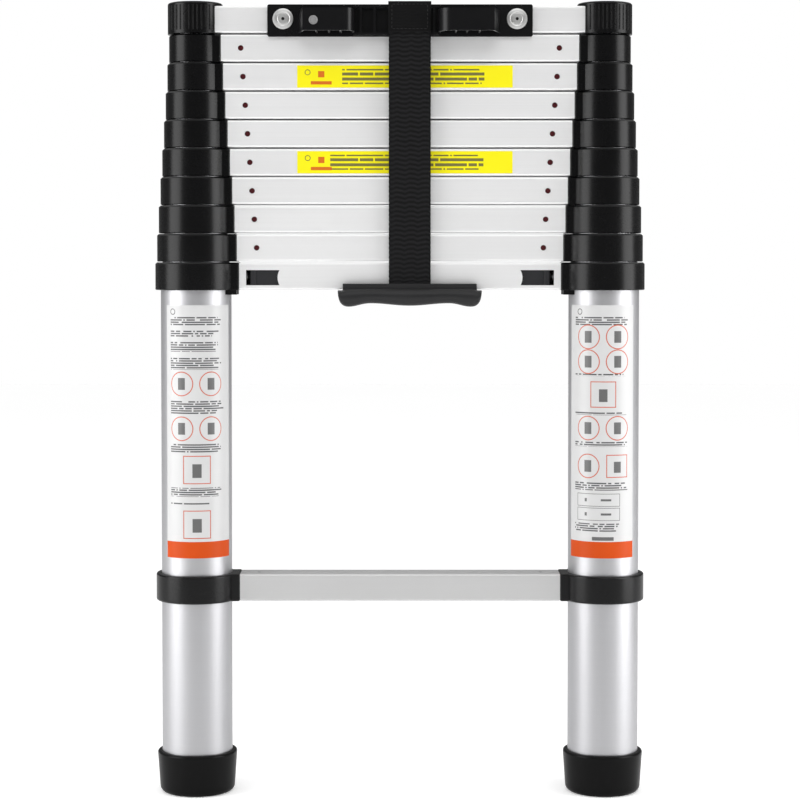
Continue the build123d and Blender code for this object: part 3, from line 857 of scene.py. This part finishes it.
class LADDER_OT_grip(bpy.types.Operator):
    """Models the hand grip: a contoured handle with flared ends, under a flat flange"""
    bl_idname = "ladder.grip"
    bl_label = "Carrying grip"

    def execute(self, context):
        sizes = context.scene.ladder_grip
        finish = moulded_finish("grip_plastic", sizes.colour, 0.0008, 0.34, 0.00005)
        low, high = GRIP_LOW, GRIP_HIGH
        centre_x = (low.x + high.x) / 2
        half = (high.x - low.x) / 2
        handle_top = high.z - sizes.end_drop
        full = handle_top - low.z
        depth = high.y - low.y

        def underside(x):
            """Height of the handle's lower edge above its lowest points."""
            a = abs(x)
            hollow, lobe = sizes.hollow_place, sizes.lobe_place
            if a < hollow:
                rise = sizes.scallop - sizes.belly
                return sizes.belly + rise * (1 - math.cos(math.pi * a / hollow)) / 2
            if a < lobe:
                return sizes.scallop * (1 + math.cos(math.pi * (a - hollow) / (lobe - hollow))) / 2
            share = min(1.0, (a - lobe) / (half - lobe))
            return full * 0.86 * (1 - (1 - share ** 2.4) ** (1 / 2.4))

        stations = 44
        clear()
        bpy.ops.mesh.primitive_circle_add(
            vertices=28, radius=0.5, fill_type="NGON", location=(0, 0, 0), rotation=(0, -math.pi / 2, 0))
        handle = begin("carry_grip_handle")
        middle_y = (low.y + high.y) / 2
        xs = [-half * math.cos(math.pi * i / stations) for i in range(stations + 1)]

        def section(x):
            edge = underside(x)
            flare = 1.0 + 0.05 * math.exp(-((abs(x) - sizes.lobe_place) / 0.006) ** 2)
            narrow = 0.86 if abs(x) < half - 0.012 else 0.86 + 0.10 * (abs(x) - half + 0.012) / 0.012
            crown = handle_top + sizes.crown * min(1.0, max(0.0, (sizes.flange / 2 - abs(x)) / 0.003))
            tall = crown - low.z - edge
            return Vector((centre_x + x, middle_y, crown - tall / 2)), (depth * narrow * flare, tall)

        place, size = section(xs[0])
        bpy.ops.mesh.select_all(action="SELECT")
        bpy.ops.transform.resize(value=(1, size[0], size[1]), center_override=(0, 0, 0))
        bpy.ops.transform.translate(value=place)
        previous = (place, size)
        for x in xs[1:]:
            place, size = section(x)
            shift = place - previous[0]
            bpy.ops.mesh.extrude_region_move(TRANSFORM_OT_translate={"value": shift})
            bpy.ops.transform.resize(
                value=(1, size[0] / previous[1][0], size[1] / previous[1][1]), center_override=place)
            previous = (place, size)
        bpy.ops.object.mode_set(mode="OBJECT")
        modify(handle, "BEVEL", width=0.0008, segments=3, limit_method="ANGLE",
               angle_limit=math.radians(50))
        modify(handle, "SUBSURF", levels=1, render_levels=1)
        finish_piece(handle, finish, "section_9", 50)
        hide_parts("carry_grip")

        flange_back = high.y - 0.0002
        flange_front = flange_back - depth * 0.58
        bottom = handle_top - 0.0045
        clear()
        bpy.ops.mesh.primitive_cube_add(
            size=1.0, location=(centre_x, (flange_back + flange_front) / 2, (high.z + bottom) / 2),
            scale=(sizes.flange, flange_back - flange_front, high.z - bottom))
        flange = begin("carry_grip_flange")
        pick(flange, "faces", lambda middle, f: f.normal.z > 0.9)
        bpy.ops.mesh.inset(thickness=0.0012, depth=0.0)
        bpy.ops.transform.translate(value=(0, 0, -0.0004))
        middle_z = (high.z + bottom) / 2
        pick(flange, "edges", lambda middle, e: middle.z > high.z - 0.0001 or (
            abs(middle.x - centre_x) > sizes.flange / 2 - 0.0001 and abs(middle.z - middle_z) < 0.001))
        bpy.ops.mesh.bevel(offset=0.0006, segments=3, affect="EDGES")
        finish_piece(flange, finish, "section_9", 40)
        return {"FINISHED"}


# ---- labels ----

LETTER_WIDTH = 0.0016
TUBE_TEXT_PITCH = 0.00215
NOTICE_TEXT_PITCH = 0.0048
PRINT_LEFT, PRINT_RIGHT = -0.0272, 0.0262
PRINT_SHIFT = 0.0031
PRINT_STRETCH = 0.992
RING_RADIUS, RING_LINE = 0.0112, 0.0005
SQUARE_LINE = 0.00045
SMALL_RING = (-0.0245, 0.0062, 0.0026, 0.0004)

# What a tube label shows, in metres across from its middle and down from its top edge.
# text: (top, bottom, how far short of the right edge); rings: middles; squares: middle, half a side;
# panels and blocks: middle, half the width, half the height.
TUBE_PRINTS = {
    "left": {
        "text": [(0.0105, 0.0192, 0), (0.0235, 0.0298, 0.006), (0.0345, 0.0440, 0), (0.0490, 0.0610, 0),
                 (0.0905, 0.1030, 0), (0.1315, 0.1395, 0), (0.1730, 0.1815, 0), (0.1870, 0.1895, 0.008)],
        "rings": [(-0.0150, 0.0745), (0.0140, 0.0745), (-0.0150, 0.1170), (0.0140, 0.1170)],
        "squares": [(0, 0.1560, 0.0130), (0, 0.2080, 0.0130)],
        "panels": [],
        "blocks": [],
    },
    "right": {
        "text": [(0.0105, 0.0192, 0), (0.0645, 0.0672, 0), (0.1010, 0.1040, 0), (0.1290, 0.1340, 0),
                 (0.1680, 0.1755, 0), (0.2070, 0.2150, 0.01)],
        "rings": [(-0.0150, 0.0300), (0.0140, 0.0300), (-0.0150, 0.0535), (0.0140, 0.0535),
                  (-0.0150, 0.1165), (0.0140, 0.1165), (-0.0150, 0.1525)],
        "squares": [(0, 0.0845, 0.0120), (0.0140, 0.1525, 0.0105)],
        "panels": [(-0.0050, 0.1847, 0.0218, 0.0061), (-0.0050, 0.1982, 0.0218, 0.0061)],
        "blocks": [(0, 0.2215, 0.0105, 0.0017)],
    },
}

# Each rung label's section, and where its text starts from the label's left edge.
NOTICES = ((4, 0.0315), (7, 0.0430))


class Print:
    """Masks for plain placeholder print, from places across a label and down it."""

    def __init__(self, finish, across, down):
        self.finish = finish
        self.across = across
        self.down = down

    def bars(self, blocks, row_pitch):
        """Short bars in rows, within (left, right, top, bottom) blocks."""
        row = (self.down / row_pitch).whole()
        in_row = ((self.down / row_pitch).fraction() - 0.5).size() < 0.30
        letter = (self.across / LETTER_WIDTH).whole()
        cell = self.finish.node("ShaderNodeCombineXYZ", None, {0: letter * 0.77, 1: row * 3.1})
        line = self.finish.node("ShaderNodeCombineXYZ", None, {1: row * 1.7})
        gaps = self.finish.noise(1.9, 0.0, cell) > 0.36
        ragged = self.finish.noise(2.7, 0.0, line)
        inside = []
        for left, right, top, bottom in blocks:
            end = right - (ragged - 0.35) * (right - left) * 0.5
            across = (self.across > left) * (self.across < end)
            inside.append(across * (self.down > top) * (self.down < bottom))
        return union(inside) * in_row * gaps

    def ring(self, x, y, radius, line):
        """A thin plain ring."""
        dx, dy = self.across - x, self.down - y
        return ((dx * dx + dy * dy).root() - radius).size() < line

    def block(self, x, y, half_width, half_height):
        """A plain blank block."""
        return ((self.across - x).size() < half_width) * ((self.down - y).size() < half_height)

    def square(self, x, y, half, line):
        """A thin plain square outline."""
        reach = (self.across - x).size().larger((self.down - y).size())
        return (reach - half).size() < line


def film_finish(finish, colour, inks=()):
    """Printed film, a little uneven; inks holds (where it lies, how fully it covers, its colour)."""
    wave = finish.noise(60.0, 2.0)
    ground = finish.blend(wave, shade(colour, 0.97), shade(colour, 1.02))
    for mask, cover, ink in inks:
        ground = finish.blend(mask * cover, ground, ink)
    finish.colour(ground)
    finish.roughness(0.36 + wave * 0.1)
    finish.bump(wave, 0.2, 0.00005)


def wrapped_film(name, side, top, height, labels):
    """A thin film bent round a stile tube's front."""
    clear()
    radius = TUBE_RADIUS + SKIN
    bpy.ops.mesh.primitive_cylinder_add(
        vertices=180, radius=radius, depth=height, end_fill_type="NOTHING",
        location=(side * RAIL_X, 0, top - height / 2))
    piece = begin(name)
    limit = math.cos(labels.spread)
    facing = Vector((-side * math.sin(labels.turn), -math.cos(labels.turn), 0))
    pick(piece, "faces", lambda middle, f: f.normal.dot(facing) < limit)
    bpy.ops.mesh.delete(type="FACE")
    bpy.ops.object.mode_set(mode="OBJECT")
    modify(piece, "SOLIDIFY", thickness=labels.film, offset=1.0)
    return piece


class LADDER_OT_tube_labels(bpy.types.Operator):
    """Wraps a plain white label with blank shapes, and a coloured band, round each base tube"""
    bl_idname = "ladder.tube_labels"
    bl_label = "Tube labels"

    def execute(self, context):
        labels = context.scene.ladder_labels
        top = (RUNG_LOW.z + RUNG_HIGH.z) / 2 - labels.below_collar
        ink = rgb(labels.print_colour)
        line = shade(labels.band_colour, 0.9)
        for side, word in ((-1, "left"), (1, "right")):
            layout = TUBE_PRINTS[word]
            finish = Finish(f"tube_label_{word}", Coat_Weight=0.15)
            x, y, z = finish.axes()
            angle = x.math("ARCTAN2", x - side * RAIL_X, 0 - y)
            across = (angle + side * labels.turn) * TUBE_RADIUS - side * PRINT_SHIFT
            sheet = Print(finish, across, (top - z) * PRINT_STRETCH)
            left = PRINT_LEFT - PRINT_SHIFT if side > 0 else PRINT_LEFT
            text = sheet.bars([(left, PRINT_RIGHT - short, upper, lower)
                               for upper, lower, short in layout["text"]], TUBE_TEXT_PITCH)
            outlines = [sheet.ring(cx, cy, RING_RADIUS, RING_LINE) for cx, cy in layout["rings"]]
            shapes = [sheet.block(cx, cy, 0.0036, 0.0056) for cx, cy in layout["rings"]]
            for cx, cy, half in layout["squares"]:
                outlines.append(sheet.square(cx, cy, half, SQUARE_LINE))
                shapes.append(sheet.block(cx, cy + 0.001, half * 0.34, half * 0.5))
            for cx, cy, wide, tall in layout["panels"]:
                inner = sheet.block(cx, cy, wide - RING_LINE, tall - RING_LINE)
                shapes += [sheet.block(cx, cy, wide, tall) - inner,
                           sheet.block(cx - 0.012, cy, 0.0012, 0.0016),
                           sheet.block(cx + 0.008, cy, 0.0050, 0.0010)]
            shapes += [sheet.block(*block) for block in layout["blocks"]]
            shapes.append(sheet.ring(*SMALL_RING))
            film_finish(finish, labels.paper, [
                (text, 0.95, ink), (union(outlines), 0.9, line), (union(shapes), 0.88, ink)])
            piece = wrapped_film(f"tube_label_{word}", side, top, labels.length, labels)
            finish_piece(piece, finish, "section_0", 40)
            band = Finish(f"tube_band_{word}", Specular_IOR_Level=0.15)
            film_finish(band, labels.band_colour)
            piece = wrapped_film(f"tube_band_{word}", side, top - labels.length, labels.band, labels)
            finish_piece(piece, band, "section_0", 40)
        return {"FINISHED"}


class LADDER_OT_rung_labels(bpy.types.Operator):
    """Puts a plain yellow label with placeholder bars on the front of two rungs"""
    bl_idname = "ladder.rung_labels"
    bl_label = "Rung labels"

    def execute(self, context):
        labels = context.scene.ladder_labels
        ink = rgb(labels.print_colour)
        left = labels.notice_place - labels.notice_width / 2
        for k, text_start in NOTICES:
            low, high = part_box(f"section_{k}_rung")
            middle_z = (low.z + high.z) / 2
            finish = Finish(f"rung_label_{k}", Coat_Weight=0.1)
            x, y, z = finish.axes()
            sheet = Print(finish, x, middle_z - z)
            text = sheet.bars([(left + text_start, left + 0.190, -0.0072, 0.0072)], NOTICE_TEXT_PITCH)
            mark = sheet.ring(left + 0.010, -0.0040, 0.0024, 0.0004)
            blank = union([sheet.block(left + 0.0230, -0.0022, 0.0030, 0.0030),
                           sheet.block(left + 0.0230, 0.0060, 0.0100, 0.0016)])
            film_finish(finish, labels.notice, [
                (text, 0.85, ink), (mark, 0.8, ink), (blank, 0.9, rgb(labels.band_colour))])
            clear()
            bpy.ops.mesh.primitive_plane_add(
                size=1.0, location=(labels.notice_place, low.y - SKIN, middle_z),
                rotation=(math.pi / 2, 0, 0))
            bpy.context.object.scale = (labels.notice_width, labels.notice_height, 1)
            piece = begin(f"rung_label_{k}")
            bpy.ops.mesh.select_all(action="SELECT")
            bpy.ops.mesh.bevel(offset=0.0008, segments=4, affect="VERTICES")
            bpy.ops.object.mode_set(mode="OBJECT")
            modify(piece, "SOLIDIFY", thickness=labels.film, offset=1.0)
            finish_piece(piece, finish, f"section_{k}", 40)
        return {"FINISHED"}


# ---- studio ----

# Each light's place, and its width and height.
SIDE_LEFT = ((-1.62, -0.68, 0.55), (1.10, 2.0))
SIDE_RIGHT = ((1.64, -0.52, 0.55), (1.00, 2.0))
FRONT = ((0.25, -2.4, 2.5), (2.2, 1.2))

class LADDER_OT_studio(bpy.types.Operator):
    """Sets up the pale floor, the soft lights and the camera"""
    bl_idname = "ladder.studio"
    bl_label = "Studio"

    def execute(self, context):
        studio = context.scene.ladder_studio
        clear()
        bpy.ops.mesh.primitive_plane_add(size=studio.floor_width, location=(0, 0, 0))
        floor = bpy.context.object
        floor.name = "studio_floor"
        paint = Finish("studio_floor")
        cloud = paint.noise(1.3, 2.0)
        pale = studio.floor_colour
        paint.colour(paint.blend(cloud, shade(pale, 0.995), shade(pale, 1.005)))
        paint.roughness(0.75 + cloud * 0.1)
        seen = paint.node("ShaderNodeLightPath", output="Is Camera Ray")
        paint.feed(paint.shader.inputs["Emission Color"], seen)
        paint.shader.inputs["Emission Strength"].default_value = studio.floor_glow
        floor.data.materials.append(paint.material)

        world = bpy.data.worlds.new("studio")
        context.scene.world = world
        sky = Shading(world)
        background = sky.nodes["Background"]
        background.inputs["Color"].default_value = (1, 1, 1, 1)
        x, y, z = sky.split(sky.node("ShaderNodeTexCoord", output="Generated"))
        smooth = {"interpolation_type": "SMOOTHSTEP"}
        level = sky.node("ShaderNodeMapRange", smooth, {
            "Value": y, "From Min": -0.9, "From Max": 0.4,
            "To Min": studio.surround_front, "To Max": studio.surround_back})
        level = sky.node("ShaderNodeMapRange", smooth, {
            "Value": z, "From Min": 0.3, "From Max": 0.8, "To Min": level, "To Max": studio.surround_above})
        seen = sky.node("ShaderNodeLightPath", output="Is Camera Ray")
        sky.feed(background.inputs["Strength"], seen + (1 - seen) * level)

        middle = (CAD_BOX[0] + CAD_BOX[1]) / 2
        lights = [("side_left", studio.side_power, SIDE_LEFT),
                  ("side_right", studio.side_power, SIDE_RIGHT),
                  ("front", studio.front_power, FRONT)]
        for name, power, (place, size) in lights:
            clear()
            bpy.ops.object.light_add(type="AREA", location=place)
            lamp = bpy.context.object
            lamp.name = f"studio_{name}"
            lamp.data.energy = power
            lamp.data.shape = "RECTANGLE"
            lamp.data.size, lamp.data.size_y = size
            lamp.rotation_euler = (middle - Vector(place)).to_track_quat("-Z", "Y").to_euler()
        clear()
        bpy.ops.object.camera_add(
            location=(0, -studio.distance, studio.height), rotation=(math.pi / 2 - studio.pitch, 0, 0))
        camera = bpy.context.object
        camera.name = "studio_camera"
        camera.data.sensor_width = 36
        camera.data.lens = studio.lens
        camera.data.shift_y = studio.rise
        camera.data.clip_end = 100
        context.scene.camera = camera
        context.scene.view_settings.view_transform = "Standard"
        clear()
        return {"FINISHED"}


OPERATORS = (
    LADDER_OT_studio, LADDER_OT_tubes, LADDER_OT_rungs, LADDER_OT_collars, LADDER_OT_locks,
    LADDER_OT_bracket, LADDER_OT_fasteners, LADDER_OT_strap, LADDER_OT_stitching, LADDER_OT_grip,
    LADDER_OT_tube_labels, LADDER_OT_rung_labels,
)


class LADDER_PT_panel(bpy.types.Panel):
    """Lists the ladder's sizes, colours and pieces"""
    bl_idname = "LADDER_PT_panel"
    bl_label = "Telescoping Ladder"
    bl_space_type = "VIEW_3D"
    bl_region_type = "UI"
    bl_category = "Ladder"

    def draw(self, context):
        for attribute, group in GROUPS.items():
            box = self.layout.box()
            box.label(text=group.__name__.replace("Ladder", ""))
            for name in group.__annotations__:
                box.prop(getattr(context.scene, attribute), name)
        for operator in OPERATORS:
            self.layout.operator(operator.bl_idname)


def register():
    for group in GROUPS.values():
        bpy.utils.register_class(group)
    for attribute, group in GROUPS.items():
        setattr(bpy.types.Scene, attribute, PointerProperty(type=group))
    for operator in OPERATORS:
        bpy.utils.register_class(operator)
    bpy.utils.register_class(LADDER_PT_panel)


def unregister():
    bpy.utils.unregister_class(LADDER_PT_panel)
    for operator in reversed(OPERATORS):
        bpy.utils.unregister_class(operator)
    for attribute, group in reversed(GROUPS.items()):
        delattr(bpy.types.Scene, attribute)
        bpy.utils.unregister_class(group)


def main():
    register()
    for operator in OPERATORS:
        family, name = operator.bl_idname.split(".")
        getattr(getattr(bpy.ops, family), name)()


if __name__ == "__main__":
    main()
